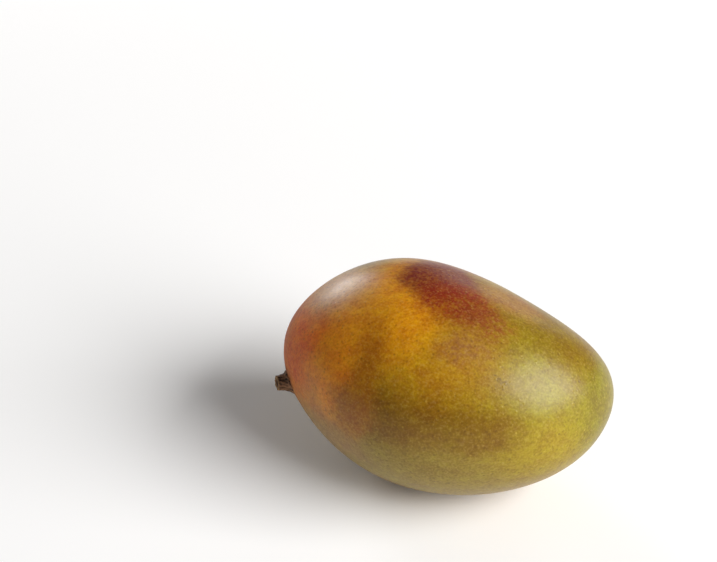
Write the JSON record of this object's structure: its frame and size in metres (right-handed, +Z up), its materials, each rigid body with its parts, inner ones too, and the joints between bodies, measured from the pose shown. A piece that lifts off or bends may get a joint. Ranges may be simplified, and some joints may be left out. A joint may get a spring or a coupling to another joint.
{
  "type": "mango",
  "caption": "Whole ripe mango lying on one cheek, a curved egg-shaped fruit flattened where it rests, with a short woody stem stub at its broad end.",
  "frame": {"origin": "middle of the bounding box, on the surface that the fruit lies on", "axes": "+X along the fruit from the stem end to the tip, +Z up from the surface, -Y on the fruit's back side, where the stub leans"},
  "size_m": [0.1256, 0.0878, 0.0794],
  "materials": {
    "mango_skin": "satin",
    "stem_bark": "matte"
  },
  "bodies": {
    "root": {"fruit": "mango_skin", "stem_stub": "stem_bark"}
  },
  "joints": []
}
